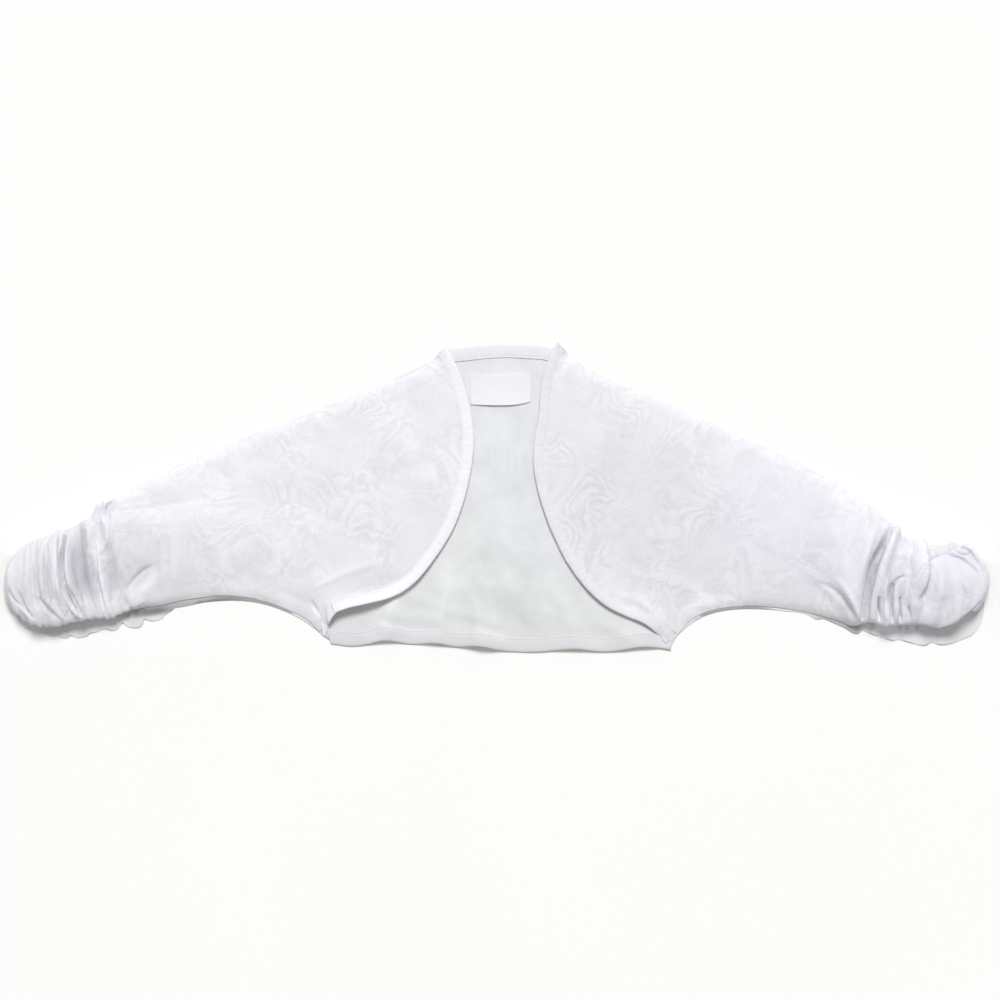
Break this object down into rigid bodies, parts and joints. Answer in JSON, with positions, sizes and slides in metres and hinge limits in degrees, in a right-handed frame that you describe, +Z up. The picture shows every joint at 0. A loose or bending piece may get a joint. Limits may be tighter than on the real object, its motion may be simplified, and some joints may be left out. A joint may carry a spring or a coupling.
{
  "type": "girl's bolero jacket, laid flat",
  "caption": "Short open-front jacket of sheer white chiffon laid flat, with curved bound fronts and three-quarter sleeves ruched at their ends.",
  "frame": {"origin": "middle of the garment's outline as it lies, on the table's surface", "axes": "+X from the wearer's right sleeve to the left one along the span of the sleeves, +Y towards the neck, +Z up from the table"},
  "size_m": [0.983, 0.3119, 0.0312],
  "materials": {
    "chiffon": "sheer white chiffon, matt with a faint sheen",
    "binding": "folded double chiffon, denser and whiter",
    "label_satin": "woven satin label, plain"
  },
  "bodies": {
    "root": {"back": "chiffon", "front_left": "chiffon", "front_right": "chiffon", "front_binding_left": "binding", "front_binding_right": "binding", "neck_binding": "binding", "hem_binding": "binding", "label": "label_satin"}
  },
  "joints": []
}
